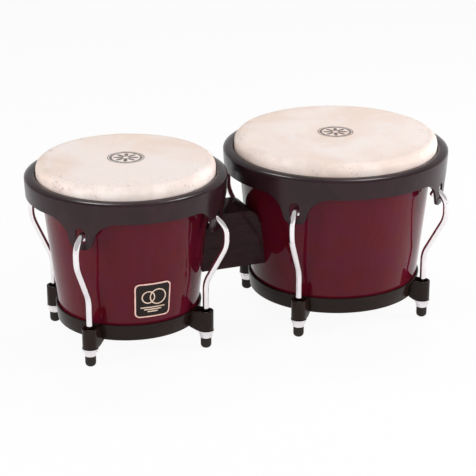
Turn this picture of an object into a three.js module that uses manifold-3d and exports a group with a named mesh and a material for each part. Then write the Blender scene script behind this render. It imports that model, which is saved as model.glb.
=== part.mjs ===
// A pair of bongo drums: two tapered wooden shells of different width, bolted together through a
// wooden block.  Each drum has a rawhide head on a wire hoop, a rolled steel rim that pulls the
// head down, four hooked tuning rods, and a steel bottom ring whose loops hold the tuning nuts.
// Millimetres, +Z up.  The drums stand on their rubber tips at z = 0, the small drum at -X.

import * as THREE from "three";
import { mergeVertices } from "three/addons/utils/BufferGeometryUtils.js";
import Module from "manifold-3d";

const wasm = await Module();
wasm.setup();

// ---- driving dimensions ------------------------------------------------------------------

// sizes that differ between the two drums
const SMALL = {
  name: "small",
  shellTopRadius: 84.5,
  shellBottomRadius: 67.4,
  lugReach: 15.4, // shell's bottom edge to the lower, upright part of a rod
  rodStandOff: 7.6, // rim's outside to the upper part of a rod
};
const LARGE = {
  name: "large",
  shellTopRadius: 99.3,
  shellBottomRadius: 83.0,
  lugReach: 12.6,
  rodStandOff: 4.8,
};

const rimToRim = 10.8; // room between the two rims
const fitGap = 0.3; // between pieces that touch
const roundSteps = 32; // facets round a drum
const smallSteps = 12; // facets round a washer, nut or tip
const holeSteps = 12;

// shells
const shellBottomZ = 24.7;
const shellTopZ = 180;
const shellWall = 9;
const bearingEdgeRound = 4;
const bearingEdgeFlat = 2.5;
const bearingEdgeBevel = 3;

// heads and flesh hoops
const skinThickness = 1.2;
const skinEdgeRound = 4.5;
const hoopWireRadius = 2.4;
const hoopClearance = 0.4; // the fold is faceted, so the wire needs a little more than fitGap
const hoopDrop = 22; // a drop is measured down from the shell's top
const tuckEndAngle = 110; // degrees round the hoop at which the folded skin ends

// rims
const rimSheet = 2.2;
const rimWidth = 11.2; // skin to the rim's outside
const rimSkinGap = 0.7;
const rimLipHeight = 11.8; // rim's highest line over the middle of the hoop
const rimLipRound = 2.6;
const rimShoulderDrop = 8.2; // highest line down to the widest one
const rimBandDrop = 30.5;
const rimBandTaper = 0.9;

// ears of the rims
const earCount = 4;
const earFirstAngle = 45;
const earTipDrop = 57.7;
const earTaper = 0.9; // how much further in the tip lies than the band's edge
const earTopHalfWidth = 30;
const earWaistHalfWidth = 14;
const earTipHalfWidth = 8;
const earWaistDrop = 46;
const earRoot = 3; // how far the ear's blank reaches up into the band
const slotSideRoom = 4; // what the slot is wider than the rod
const slotTopDrop = 39.2; // to the rod's middle line where it lies highest in the slot
const slotBottomDrop = 48.9;
const slotCornerRound = 1.5;

// tuning rods
const rodDiameter = 6;
const threadDiameter = 5.8;
const threadTopZ = 33;
const rodEndZ = 4.6;
const rodSides = 8;
const hookEndReach = 7.2; // inside the ear
const hookEndDrop = 50.3;
const hookPeakReach = 3;
const hookPeakDrop = 43;
const rodShoulderTopDrop = 53.5;
const rodShoulderBottomDrop = 72;
const rodLowerBendZ = 68;
const hookBend = 4.5; // length of straight rod that each bend takes up
const rodBend = 7;
const rodStep = 5.35; // length of rod between two of its rings of corners

// bottom rings and their loops
const ringSheet = 2;
const ringBottomZ = 22.4;
const ringTopZ = 38.8;
const ringLipWidth = 7;
const loopSheet = 2;
const loopClearance = 2.4; // rod to the inside of its loop
const loopBottomZ = 19;
const loopSeatReach = 6; // from the rod towards the ring, before the lower edge rises

// washers, tuning nuts and rubber tips
const washerRadius = 7.9;
const washerThickness = 1.5;
const washerBoreClearance = 0.45;
const nutShoulderRadius = 7.1;
const nutShoulderHeight = 1.4;
const nutAcrossFlats = 10.6;
const nutHexHeight = 4.6;
const nutBarrelWall = 1.15; // over the thread
const nutBarrelHeight = 4.2;
const threadClearance = 0.3;
const tipWall = 0.85;
const tipFloor = 2.6;
const tipEdgeRound = 1.6;

// centre block
const blockBottomZ = 63;
const blockTopDrop = 59.4;
const blockThickness = 44;
const blockTopCorner = 13;
const blockEdgeRound = 3;

// bolts through the block
const boltDiameter = 8;
const boltSpread = 28;
const boltHoleClearance = 0.4;
const boltHeadAcrossFlats = 13;
const boltHeadHeight = 5.3;
const boltNutHeight = 6.5;
const boltTail = 3;
const boltWasherRadius = 10;
const boltWasherThickness = 1.6;
const spotFaceClearance = 0.7;
const spotFaceDepth = 1.6; // into the wall at the bolt's height

// badge on the small shell
const badgeWidth = 35.3;
const badgeHeight = 35.5;
const badgeCorner = 5;
const badgeThickness = 1;
const badgeAngle = -90;
const badgeZ = 64;

// ---- places worked out from them ---------------------------------------------------------

const hoopZ = shellTopZ - hoopDrop;
const rimBandZ = shellTopZ - rimBandDrop;
const earTipZ = shellTopZ - earTipDrop;
const earWaistZ = shellTopZ - earWaistDrop;
const slotWidth = rodDiameter + slotSideRoom;
const slotTopZ = shellTopZ - slotTopDrop + rodDiameter / 2;
const slotBottomZ = shellTopZ - slotBottomDrop - rodDiameter / 2;
const hookEndZ = shellTopZ - hookEndDrop;
const hookPeakZ = shellTopZ - hookPeakDrop;
const rodShoulderTopZ = shellTopZ - rodShoulderTopDrop;
const rodShoulderBottomZ = shellTopZ - rodShoulderBottomDrop;
const loopInnerRadius = rodDiameter / 2 + loopClearance;
const nutBarrelRadius = threadDiameter / 2 + nutBarrelWall;
const tipRadius = nutBarrelRadius + threadClearance + tipWall;
const blockTopZ = shellTopZ - blockTopDrop;

for (const drum of [SMALL, LARGE]) {
  drum.lugRadius = drum.shellBottomRadius + drum.lugReach;
  drum.skinRadius = drum.shellTopRadius + fitGap + skinThickness;
  drum.rimRadius = drum.skinRadius + rimWidth;
  drum.earRadius = drum.rimRadius - rimBandTaper - earTaper;
  drum.taper = (drum.shellTopRadius - drum.shellBottomRadius) / (shellTopZ - shellBottomZ);
  drum.shellRadiusAt = (z) => drum.shellBottomRadius + drum.taper * (z - shellBottomZ);
}
const drumSpacing = SMALL.rimRadius + rimToRim + LARGE.rimRadius; // between the drum axes
const overallLength = SMALL.rimRadius + drumSpacing + LARGE.rimRadius;
SMALL.x = -overallLength / 2 + SMALL.rimRadius;
LARGE.x = SMALL.x + drumSpacing;

// ---- materials ---------------------------------------------------------------------------

function finish(color, roughness, metalness) {
  return () => new THREE.MeshStandardMaterial({ color, roughness, metalness });
}
const lacqueredWood = finish(0x5c252b, 0.15, 0);
const darkWood = finish(0x36242a, 0.3, 0);
const rawhide = finish(0xf0e4da, 0.6, 0);
const blackSteel = finish(0x3c3334, 0.35, 0.7);
const plainSteel = finish(0x9a9a9a, 0.35, 1);
const chrome = finish(0xe8e6e8, 0.08, 1);
const blackRubber = finish(0x2c2829, 0.8, 0);
const badgeMetal = finish(0x1c1718, 0.3, 0.5);

// ---- geometry helpers --------------------------------------------------------------------

// a ring or solid of revolution about Z, from a profile of [radius, z] points
function turned(profile, steps = roundSteps) {
  const points = profile.map(([r, z]) => new THREE.Vector2(r, z));
  return new THREE.LatheGeometry(points, steps).rotateX(Math.PI / 2);
}

// points of an arc in a profile; angles in degrees, 0 outwards and 90 up
function arc(r, z, radiusR, radiusZ, from, to, steps) {
  const points = [];
  for (let i = 0; i <= steps; i += 1) {
    const angle = THREE.MathUtils.degToRad(from + ((to - from) * i) / steps);
    points.push([r + radiusR * Math.cos(angle), z + radiusZ * Math.sin(angle)]);
  }
  return points;
}

function closed(profile) {
  return [...profile, profile[0]];
}

function solid(geometry) {
  const bare = geometry.clone();
  bare.deleteAttribute("normal");
  bare.deleteAttribute("uv");
  const merged = mergeVertices(bare, 1e-4);
  const mesh = new wasm.Mesh({
    numProp: 3,
    vertProperties: new Float32Array(merged.attributes.position.array),
    triVerts: new Uint32Array(merged.index.array),
  });
  return new wasm.Manifold(mesh);
}

function geometryOf(manifold) {
  const { vertProperties, triVerts } = manifold.getMesh();
  const geometry = new THREE.BufferGeometry();
  geometry.setAttribute("position", new THREE.BufferAttribute(new Float32Array(vertProperties), 3));
  geometry.setIndex(new THREE.BufferAttribute(new Uint32Array(triVerts), 1));
  geometry.computeVertexNormals();
  return geometry;
}

// a round bar along X between two x places
function barAlongX(radius, fromX, toX, y, z, steps) {
  const bar = new THREE.CylinderGeometry(radius, radius, toX - fromX, steps);
  return bar.rotateZ(Math.PI / 2).translate((fromX + toX) / 2, y, z);
}

function hexagon(acrossFlats) {
  const shape = new THREE.Shape();
  const radius = acrossFlats / Math.sqrt(3);
  for (let i = 0; i < 6; i += 1) {
    const angle = (i * Math.PI) / 3;
    const [x, y] = [radius * Math.cos(angle), radius * Math.sin(angle)];
    if (i === 0) shape.moveTo(x, y);
    else shape.lineTo(x, y);
  }
  shape.closePath();
  return shape;
}

function roundedOutline(left, bottom, right, top, lowerCorner, upperCorner) {
  const shape = new THREE.Shape();
  shape.moveTo(left + lowerCorner, bottom);
  shape.lineTo(right - lowerCorner, bottom);
  shape.absarc(right - lowerCorner, bottom + lowerCorner, lowerCorner, -Math.PI / 2, 0, false);
  shape.absarc(right - upperCorner, top - upperCorner, upperCorner, 0, Math.PI / 2, false);
  shape.absarc(left + upperCorner, top - upperCorner, upperCorner, Math.PI / 2, Math.PI, false);
  shape.absarc(left + lowerCorner, bottom + lowerCorner, lowerCorner, Math.PI, 1.5 * Math.PI, false);
  shape.closePath();
  return shape;
}

// ---- the model ---------------------------------------------------------------------------

const bongos = new THREE.Group();

function addPiece(name, geometry, material, parent = bongos) {
  const mesh = new THREE.Mesh(geometry, material());
  mesh.name = name;
  parent.add(mesh);
  return mesh;
}

// where the washers under a bolt's head and nut sit, measured from the drum's axis
function spotFaceReach(drum, z) {
  return drum.shellRadiusAt(z) - shellWall + spotFaceDepth;
}

const boltHeights = [-1, 1].map((side) => (blockBottomZ + blockTopZ + side * boltSpread) / 2);
const boltHoleRadius = boltDiameter / 2 + boltHoleClearance;

function shellGeometry(drum) {
  const r = (z) => drum.shellRadiusAt(z);
  const edgeZ = shellTopZ - bearingEdgeRound;
  const innerEdge = r(edgeZ) - bearingEdgeRound - bearingEdgeFlat;
  const profile = closed([
    [r(shellBottomZ) - shellWall, shellBottomZ],
    [r(shellBottomZ), shellBottomZ],
    ...arc(r(edgeZ) - bearingEdgeRound, edgeZ, bearingEdgeRound, bearingEdgeRound, 0, 90, 3),
    [innerEdge, shellTopZ],
    [r(shellTopZ - bearingEdgeBevel) - shellWall, shellTopZ - bearingEdgeBevel],
  ]);
  let shell = solid(turned(profile));
  const inwards = drum === SMALL ? 1 : -1; // X direction from this drum's axis to the block
  for (const z of boltHeights) {
    const seat = spotFaceReach(drum, z);
    const spotRadius = boltWasherRadius + spotFaceClearance;
    const spot = barAlongX(spotRadius, seat - shellWall, seat, 0, z, 2 * smallSteps);
    const hole = barAlongX(boltHoleRadius, seat - shellWall, seat + 2 * shellWall, 0, z, holeSteps);
    for (const cutter of [spot, hole]) {
      if (inwards < 0) cutter.rotateZ(Math.PI);
      shell = shell.subtract(solid(cutter));
    }
  }
  return geometryOf(shell);
}

// the skin runs down outside the shell and folds round the wire hoop, under it and back over it
function headGeometry(drum) {
  const inner = drum.skinRadius - skinThickness;
  const foldInside = hoopWireRadius + hoopClearance;
  const foldOutside = foldInside + skinThickness;
  const hoop = hoopCentre(drum);
  const top = shellTopZ + fitGap;
  const bend = skinEdgeRound - skinThickness;
  const profile = [
    [0, top],
    ...arc(inner - bend, top - bend, bend, bend, 90, 0, 2),
    ...arc(hoop, hoopZ, foldOutside, foldOutside, -180, tuckEndAngle, 5),
    ...arc(hoop, hoopZ, foldInside, foldInside, tuckEndAngle, -180, 5),
    ...arc(inner - bend, top - bend, skinEdgeRound, skinEdgeRound, 0, 90, 3),
    [0, top + skinThickness],
  ];
  return turned(profile);
}

function hoopCentre(drum) {
  return drum.skinRadius + hoopClearance + hoopWireRadius;
}

function hoopGeometry(drum) {
  const wire = arc(hoopCentre(drum), hoopZ, hoopWireRadius, hoopWireRadius, 0, 360, 6);
  wire[wire.length - 1] = wire[0];
  return turned(wire);
}

function earOutline() {
  const shape = new THREE.Shape();
  const topZ = rimBandZ + earRoot;
  shape.moveTo(-earTopHalfWidth, topZ);
  shape.lineTo(-earTopHalfWidth, rimBandZ);
  shape.quadraticCurveTo(-earWaistHalfWidth - 4, rimBandZ - 1, -earWaistHalfWidth, earWaistZ);
  shape.quadraticCurveTo(-earTipHalfWidth - 1, earTipZ, 0, earTipZ);
  shape.quadraticCurveTo(earTipHalfWidth + 1, earTipZ, earWaistHalfWidth, earWaistZ);
  shape.quadraticCurveTo(earWaistHalfWidth + 4, rimBandZ - 1, earTopHalfWidth, rimBandZ);
  shape.lineTo(earTopHalfWidth, topZ);
  shape.closePath();
  const half = slotWidth / 2;
  const slot = roundedOutline(-half, slotBottomZ, half, slotTopZ, slotCornerRound, half - 0.01);
  shape.holes.push(new THREE.Path(slot.getPoints(2)));
  return shape;
}

function rimGeometry(drum) {
  const outside = drum.rimRadius;
  const inside = drum.skinRadius + rimSkinGap;
  const lipZ = hoopZ + rimLipHeight;
  const shoulderZ = lipZ - rimShoulderDrop;
  const rollWidth = outside - inside - rimLipRound;
  const crest = inside + rimLipRound;
  const legZ = hoopZ + hoopWireRadius + hoopClearance + skinThickness + fitGap;
  const innerRound = rimLipRound - rimSheet;
  const profile = closed([
    ...arc(crest, shoulderZ, rollWidth, rimShoulderDrop, 0, 90, 4),
    ...arc(crest, lipZ - rimLipRound, rimLipRound, rimLipRound, 120, 180, 2),
    [inside, legZ],
    [inside + rimSheet, legZ],
    ...arc(crest, lipZ - rimLipRound, innerRound, innerRound, 180, 90, 1),
    ...arc(crest, shoulderZ, rollWidth - rimSheet, rimShoulderDrop - rimSheet, 60, 0, 2),
    [outside - rimBandTaper - rimSheet, rimBandZ],
    [outside - rimBandTaper, rimBandZ],
  ]);
  let rim = solid(turned(profile));
  const bandTop = rimBandZ + earRoot;
  const slope = earTaper / (rimBandZ - earTipZ);
  const r = (z) => outside - rimBandTaper - slope * (rimBandZ - z);
  const earBand = turned(
    closed([
      [r(earTipZ) - rimSheet, earTipZ - 1],
      [r(earTipZ), earTipZ - 1],
      [r(bandTop), bandTop],
      [r(bandTop) - rimSheet, bandTop],
    ]),
  );
  const outline = new THREE.ExtrudeGeometry(earOutline(), {
    depth: 30,
    bevelEnabled: false,
    curveSegments: 3,
  });
  outline.rotateX(Math.PI / 2).rotateZ(Math.PI / 2).translate(outside - 25, 0, 0);
  const ear = solid(earBand).intersect(solid(outline));
  for (let i = 0; i < earCount; i += 1) {
    rim = rim.add(ear.rotate([0, 0, earFirstAngle + (i * 360) / earCount]));
  }
  return geometryOf(rim);
}

// a bent rod's middle line, in the plane of its drum's axis: straight runs joined by soft bends
function rodPath(drum) {
  const shoulder = drum.rimRadius + drum.rodStandOff;
  const ear = drum.earRadius - rimSheet / 2;
  const corners = [
    [ear - hookEndReach, hookEndZ],
    [ear - hookPeakReach, hookPeakZ],
    [shoulder, rodShoulderTopZ],
    [shoulder, rodShoulderBottomZ],
    [drum.lugRadius, rodLowerBendZ],
    [drum.lugRadius, threadTopZ],
  ].map(([r, z]) => new THREE.Vector3(r, 0, z));
  const bends = [0, hookBend, rodBend, rodBend, rodBend, 0];
  const path = new THREE.CurvePath();
  let from = corners[0];
  for (let i = 1; i < corners.length - 1; i += 1) {
    const corner = corners[i];
    const before = corner.clone().add(direction(corner, corners[i - 1], bends[i]));
    const after = corner.clone().add(direction(corner, corners[i + 1], bends[i]));
    path.add(new THREE.LineCurve3(from, before));
    path.add(new THREE.QuadraticBezierCurve3(before, corner, after));
    from = after;
  }
  path.add(new THREE.LineCurve3(from, corners[corners.length - 1]));
  return path;
}

function direction(from, to, length) {
  return to.clone().sub(from).setLength(length);
}

function circle(radius, sides) {
  const shape = new THREE.Shape();
  for (let i = 0; i < sides; i += 1) {
    const angle = (2 * Math.PI * i) / sides;
    const [x, y] = [radius * Math.cos(angle), radius * Math.sin(angle)];
    if (i === 0) shape.moveTo(x, y);
    else shape.lineTo(x, y);
  }
  shape.closePath();
  return shape;
}

function rodGeometry(drum) {
  const path = rodPath(drum);
  const bent = new THREE.ExtrudeGeometry(circle(rodDiameter / 2, rodSides), {
    steps: Math.round(path.getLength() / rodStep),
    extrudePath: path,
    bevelEnabled: false,
  });
  const threaded = turned(
    [
      [0, rodEndZ],
      [threadDiameter / 2 - 1, rodEndZ],
      [threadDiameter / 2, rodEndZ + 1],
      [threadDiameter / 2, threadTopZ + 1],
      [0, threadTopZ + 1],
    ],
    rodSides,
  ).translate(drum.lugRadius, 0, 0);
  return geometryOf(solid(bent).add(solid(threaded)));
}

function ringGeometry(drum) {
  const r = (z) => drum.shellRadiusAt(z) + fitGap;
  const lipTop = shellBottomZ - fitGap;
  const ring = solid(
    turned(
      closed([
        [r(ringBottomZ) - ringLipWidth, ringBottomZ],
        [r(ringBottomZ) + ringSheet, ringBottomZ],
        [r(ringTopZ) + ringSheet, ringTopZ],
        [r(ringTopZ), ringTopZ],
        [r(lipTop), lipTop],
        [r(lipTop) - ringLipWidth, lipTop],
      ]),
    ),
  );
  const core = solid(
    turned([
      [0, loopBottomZ - 1],
      [r(loopBottomZ - 1) + ringSheet / 2, loopBottomZ - 1],
      [r(ringTopZ + 1) + ringSheet / 2, ringTopZ + 1],
      [0, ringTopZ + 1],
    ]),
  );
  const loop = loopSolid(drum).subtract(core);
  let whole = ring;
  for (let i = 0; i < earCount; i += 1) {
    whole = whole.add(loop.rotate([0, 0, earFirstAngle + (i * 360) / earCount]));
  }
  return geometryOf(whole);
}

// a strap bent round the rod like a U, its legs running in to the ring
function loopSolid(drum) {
  const outer = loopInnerRadius + loopSheet;
  const inwards = drum.shellBottomRadius - 4;
  const strap = (radius, low, high) => {
    const shape = new THREE.Shape();
    shape.moveTo(inwards, -radius);
    shape.lineTo(drum.lugRadius, -radius);
    shape.absarc(drum.lugRadius, 0, radius, -Math.PI / 2, Math.PI / 2, false);
    shape.lineTo(inwards, radius);
    shape.closePath();
    const depth = high - low;
    const body = new THREE.ExtrudeGeometry(shape, { depth, bevelEnabled: false, curveSegments: 6 });
    return solid(body.translate(0, 0, low));
  };
  const full = strap(outer, loopBottomZ, ringTopZ);
  const hollow = strap(loopInnerRadius, loopBottomZ - 1, ringTopZ + 1);
  const under = new THREE.Shape();
  under.moveTo(inwards - 1, loopBottomZ - 1);
  under.lineTo(drum.lugRadius - loopSeatReach, loopBottomZ - 1);
  under.lineTo(drum.lugRadius - loopSeatReach, loopBottomZ);
  under.lineTo(drum.shellBottomRadius, ringBottomZ);
  under.lineTo(inwards - 1, ringBottomZ);
  under.closePath();
  const wedge = new THREE.ExtrudeGeometry(under, { depth: 4 * outer, bevelEnabled: false });
  wedge.rotateX(Math.PI / 2).translate(0, 2 * outer, 0);
  return full.subtract(hollow).subtract(solid(wedge));
}

const washerTopZ = loopBottomZ - fitGap;
const nutTopZ = washerTopZ - washerThickness - fitGap;
const nutHexTopZ = nutTopZ - nutShoulderHeight;
const tipTopZ = nutHexTopZ - nutHexHeight - fitGap;

function washerGeometry() {
  const bore = threadDiameter / 2 + washerBoreClearance;
  return turned(
    closed([
      [bore, washerTopZ - washerThickness],
      [washerRadius - 0.4, washerTopZ - washerThickness],
      [washerRadius, washerTopZ - washerThickness + 0.4],
      [washerRadius, washerTopZ],
      [bore, washerTopZ],
    ]),
    smallSteps,
  );
}

// a hexagon under a round shoulder, with a plain barrel below for the rubber tip
function nutGeometry() {
  const bore = threadDiameter / 2 + threadClearance;
  const barrelEndZ = nutHexTopZ - nutHexHeight - nutBarrelHeight;
  const hexRadius = nutAcrossFlats / 2;
  const round = turned(
    [
      [0, barrelEndZ],
      [nutBarrelRadius, barrelEndZ],
      [nutBarrelRadius, nutHexTopZ - nutHexHeight / 2],
      [hexRadius, nutHexTopZ - nutHexHeight / 2],
      [nutShoulderRadius, nutHexTopZ],
      [nutShoulderRadius, nutTopZ],
      [0, nutTopZ],
    ],
    smallSteps,
  );
  const hex = new THREE.ExtrudeGeometry(hexagon(nutAcrossFlats), {
    depth: nutHexHeight,
    bevelEnabled: false,
  }).translate(0, 0, nutHexTopZ - nutHexHeight);
  const hole = new THREE.CylinderGeometry(bore, bore, 40, holeSteps).rotateX(Math.PI / 2);
  return geometryOf(solid(round).add(solid(hex)).subtract(solid(hole)));
}

function tipGeometry() {
  const pocket = nutBarrelRadius + threadClearance;
  return turned(
    [
      [0, 0],
      [tipRadius - tipEdgeRound, 0],
      [tipRadius - tipEdgeRound * 0.3, tipEdgeRound * 0.3],
      [tipRadius, tipEdgeRound],
      [tipRadius, tipTopZ],
      [pocket, tipTopZ],
      [pocket, tipFloor],
      [0, tipFloor],
    ],
    smallSteps,
  );
}

function addDrum(drum) {
  const group = new THREE.Group();
  group.position.x = drum.x;
  bongos.add(group);
  const piece = (name, geometry, material) => addPiece(name, geometry, material, group);
  piece(`${drum.name}_shell`, shellGeometry(drum), lacqueredWood);
  piece(`${drum.name}_bottom_ring`, ringGeometry(drum), blackSteel);
  piece(`${drum.name}_head`, headGeometry(drum), rawhide);
  piece(`${drum.name}_flesh_hoop`, hoopGeometry(drum), plainSteel);
  piece(`${drum.name}_rim`, rimGeometry(drum), blackSteel);
  for (let i = 0; i < earCount; i += 1) {
    const lug = new THREE.Group();
    lug.rotation.z = THREE.MathUtils.degToRad(earFirstAngle + (i * 360) / earCount);
    group.add(lug);
    const label = `${drum.name}_lug_${i + 1}`;
    addPiece(`${label}_rod`, rodGeometry(drum), chrome, lug);
    const seat = new THREE.Group();
    seat.position.x = drum.lugRadius;
    lug.add(seat);
    addPiece(`${label}_washer`, washerGeometry(), chrome, seat);
    addPiece(`${label}_nut`, nutGeometry(), chrome, seat);
    addPiece(`${label}_rubber_tip`, tipGeometry(), blackRubber, seat);
  }
}

// the block seen from the front: its upper corners are rounded down to where it meets the shells
function blockFace(farLeft, farRight) {
  const cornerZ = blockTopZ - blockTopCorner;
  const left = SMALL.x + SMALL.shellRadiusAt(cornerZ);
  const right = LARGE.x - LARGE.shellRadiusAt(cornerZ);
  const shape = new THREE.Shape();
  shape.moveTo(farLeft, blockBottomZ);
  shape.lineTo(farRight, blockBottomZ);
  shape.lineTo(right, cornerZ);
  shape.absarc(right - blockTopCorner, cornerZ, blockTopCorner, 0, Math.PI / 2, false);
  shape.absarc(left + blockTopCorner, cornerZ, blockTopCorner, Math.PI / 2, Math.PI, false);
  shape.closePath();
  return shape;
}

// the block's hollowed ends follow the tapered shells
function blockGeometry() {
  const half = blockThickness / 2;
  const farLeft = SMALL.x + SMALL.shellBottomRadius / 2;
  const farRight = LARGE.x - LARGE.shellBottomRadius / 2;
  const along = roundedOutline(
    -half,
    blockBottomZ,
    half,
    blockTopZ,
    blockEdgeRound,
    blockEdgeRound,
  );
  const bar = new THREE.ExtrudeGeometry(along, {
    depth: farRight - farLeft,
    bevelEnabled: false,
    curveSegments: 3,
  });
  bar.rotateX(Math.PI / 2).rotateZ(Math.PI / 2).translate(farLeft, 0, 0);
  const across = new THREE.ExtrudeGeometry(blockFace(farLeft, farRight), {
    depth: blockThickness + 2,
    bevelEnabled: false,
    curveSegments: 5,
  });
  across.rotateX(Math.PI / 2).translate(0, half + 1, 0);
  let block = solid(bar).intersect(solid(across));
  for (const drum of [SMALL, LARGE]) {
    const low = blockBottomZ - 5;
    const high = blockTopZ + 5;
    const cone = turned(
      [
        [0, low],
        [drum.shellRadiusAt(low) + fitGap, low],
        [drum.shellRadiusAt(high) + fitGap, high],
        [0, high],
      ],
      roundSteps,
    ).translate(drum.x, 0, 0);
    block = block.subtract(solid(cone));
  }
  for (const z of boltHeights) {
    const hole = barAlongX(boltHoleRadius, SMALL.x, LARGE.x, 0, z, holeSteps);
    block = block.subtract(solid(hole));
  }
  return geometryOf(block);
}

function hexAlongX(acrossFlats, fromX, toX, z) {
  const hex = new THREE.ExtrudeGeometry(hexagon(acrossFlats), {
    depth: toX - fromX,
    bevelEnabled: false,
  });
  return hex.rotateY(Math.PI / 2).translate(fromX, 0, z);
}

function addBolt(label, z) {
  const seatSmall = SMALL.x + spotFaceReach(SMALL, z);
  const seatLarge = LARGE.x - spotFaceReach(LARGE, z);
  const washerSmall = [seatSmall - fitGap - boltWasherThickness, seatSmall - fitGap];
  const washerLarge = [seatLarge + fitGap, seatLarge + fitGap + boltWasherThickness];
  const headFace = washerSmall[0] - fitGap;
  const nutFace = washerLarge[1] + fitGap;
  const nutEnd = nutFace + boltNutHeight;
  const shank = barAlongX(boltDiameter / 2, headFace - 1, nutEnd + boltTail, 0, z, holeSteps);
  const head = hexAlongX(boltHeadAcrossFlats, headFace - boltHeadHeight, headFace, z);
  addPiece(`${label}_bolt`, geometryOf(solid(head).add(solid(shank))), plainSteel);
  const hole = barAlongX(boltHoleRadius, SMALL.x, LARGE.x, 0, z, holeSteps);
  const washer = (span) => solid(barAlongX(boltWasherRadius, span[0], span[1], 0, z, smallSteps));
  const drilled = (blank) => geometryOf(blank.subtract(solid(hole.clone())));
  addPiece(`${label}_bolt_head_washer`, drilled(washer(washerSmall)), plainSteel);
  addPiece(`${label}_bolt_nut_washer`, drilled(washer(washerLarge)), plainSteel);
  const nut = solid(hexAlongX(boltHeadAcrossFlats, nutFace, nutEnd, z));
  addPiece(`${label}_bolt_nut`, drilled(nut), plainSteel);
}

// a thin plate bent to the shell's cone
function badgeGeometry() {
  const drum = SMALL;
  const low = badgeZ - badgeHeight;
  const high = badgeZ + badgeHeight;
  const r = (z) => drum.shellRadiusAt(z) + fitGap;
  const band = turned(
    closed([
      [r(low), low],
      [r(low) + badgeThickness, low],
      [r(high) + badgeThickness, high],
      [r(high), high],
    ]),
    2 * roundSteps,
  );
  const outline = roundedOutline(
    -badgeWidth / 2,
    badgeZ - badgeHeight / 2,
    badgeWidth / 2,
    badgeZ + badgeHeight / 2,
    badgeCorner,
    badgeCorner,
  );
  const plate = new THREE.ExtrudeGeometry(outline, {
    depth: drum.shellTopRadius,
    bevelEnabled: false,
    curveSegments: 4,
  });
  plate.rotateX(Math.PI / 2).rotateZ(Math.PI / 2).translate(drum.shellBottomRadius / 2, 0, 0);
  const bent = solid(band).intersect(solid(plate));
  return geometryOf(bent.rotate([0, 0, badgeAngle])).translate(drum.x, 0, 0);
}

for (const drum of [SMALL, LARGE]) addDrum(drum);
addPiece("centre_block", blockGeometry(), darkWood);
addBolt("lower", boltHeights[0]);
addBolt("upper", boltHeights[1]);
addPiece("badge", badgeGeometry(), badgeMetal);

export default bongos;
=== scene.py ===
import math

import bmesh
import bpy
from mathutils import Matrix, Vector


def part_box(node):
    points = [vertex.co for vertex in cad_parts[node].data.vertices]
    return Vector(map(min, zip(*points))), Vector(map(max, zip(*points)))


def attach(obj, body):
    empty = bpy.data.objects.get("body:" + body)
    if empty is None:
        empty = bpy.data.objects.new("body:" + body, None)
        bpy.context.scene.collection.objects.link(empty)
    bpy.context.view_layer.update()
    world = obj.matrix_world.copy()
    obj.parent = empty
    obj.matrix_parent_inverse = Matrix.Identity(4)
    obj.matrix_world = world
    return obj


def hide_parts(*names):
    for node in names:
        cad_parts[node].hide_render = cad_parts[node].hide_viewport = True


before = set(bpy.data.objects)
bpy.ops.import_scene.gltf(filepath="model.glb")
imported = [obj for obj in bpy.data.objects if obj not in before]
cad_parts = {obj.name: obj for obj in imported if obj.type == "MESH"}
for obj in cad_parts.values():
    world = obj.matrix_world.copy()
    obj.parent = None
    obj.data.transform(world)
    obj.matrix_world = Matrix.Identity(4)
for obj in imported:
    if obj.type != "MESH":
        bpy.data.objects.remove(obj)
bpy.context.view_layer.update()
scene = bpy.context.scene


# ---- Studio ------------------------------------------------------------------------------
# A pale table in a white room, lit by the room, soft lights in front and at the sides, and
# two smaller ones behind that draw a thin bright line along each rim.
# None of it is part of the drums.


def node(tree, kind, inputs=None, **settings):
    """Adds a shader node. An input is given a plain value or the socket that feeds it."""
    made = tree.nodes.new("ShaderNode" + kind)
    for name, value in settings.items():
        setattr(made, name, value)
    for name, value in (inputs or {}).items():
        if isinstance(value, bpy.types.NodeSocket):
            tree.links.new(value, made.inputs[name])
        else:
            made.inputs[name].default_value = value
    return made


def seen_directly(tree, to_eye=1.0, in_mirror=1.0):
    """A share for what the camera sees, another for mirrors and glass, 0 for lighting the drums."""
    path = node(tree, "LightPath").outputs
    mirrored = node(
        tree, "Math", {0: path["Is Glossy Ray"], 1: path["Is Transmission Ray"]}, operation="MAXIMUM"
    )
    mirrored = node(tree, "Math", {0: mirrored.outputs[0], 1: in_mirror}, operation="MULTIPLY")
    seen = node(tree, "Math", {0: path["Is Camera Ray"], 1: to_eye}, operation="MULTIPLY")
    either = node(tree, "Math", {0: seen.outputs[0], 1: mirrored.outputs[0]}, operation="MAXIMUM")
    return either.outputs[0]


scene.view_settings.view_transform = "Standard"

white = (1, 1, 1, 1)
room_strength, ceiling_strength = 0.27, 0.5
walls_end, ceiling_start = 0.1, 0.32  # the upward part of a direction
room = bpy.data.worlds.new("white_room")
scene.world = room
room.use_nodes = True
room_tree = room.node_tree
room_tree.nodes.clear()
room_light = node(room_tree, "Background", {"Color": white, "Strength": room_strength})
# its walls are white low down, and its ceiling is dimmer wherever it is mirrored
room_way = node(room_tree, "SeparateXYZ", {0: node(room_tree, "TexCoord").outputs["Generated"]})
room_walls = node(
    room_tree,
    "MapRange",
    {"Value": room_way.outputs["Z"], 1: walls_end, 2: ceiling_start, 3: 1.0, 4: ceiling_strength},
    interpolation_type="SMOOTHSTEP",
)
room_eye = node(room_tree, "LightPath").outputs["Is Camera Ray"]
room_level = node(room_tree, "Math", {0: room_walls.outputs[0], 1: room_eye}, operation="MAXIMUM")
room_white = node(room_tree, "Background", {"Color": white, "Strength": room_level.outputs[0]})
room_mix = node(
    room_tree,
    "MixShader",
    {0: seen_directly(room_tree), 1: room_light.outputs[0], 2: room_white.outputs[0]},
)
node(room_tree, "OutputWorld", {"Surface": room_mix.outputs[0]})

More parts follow.
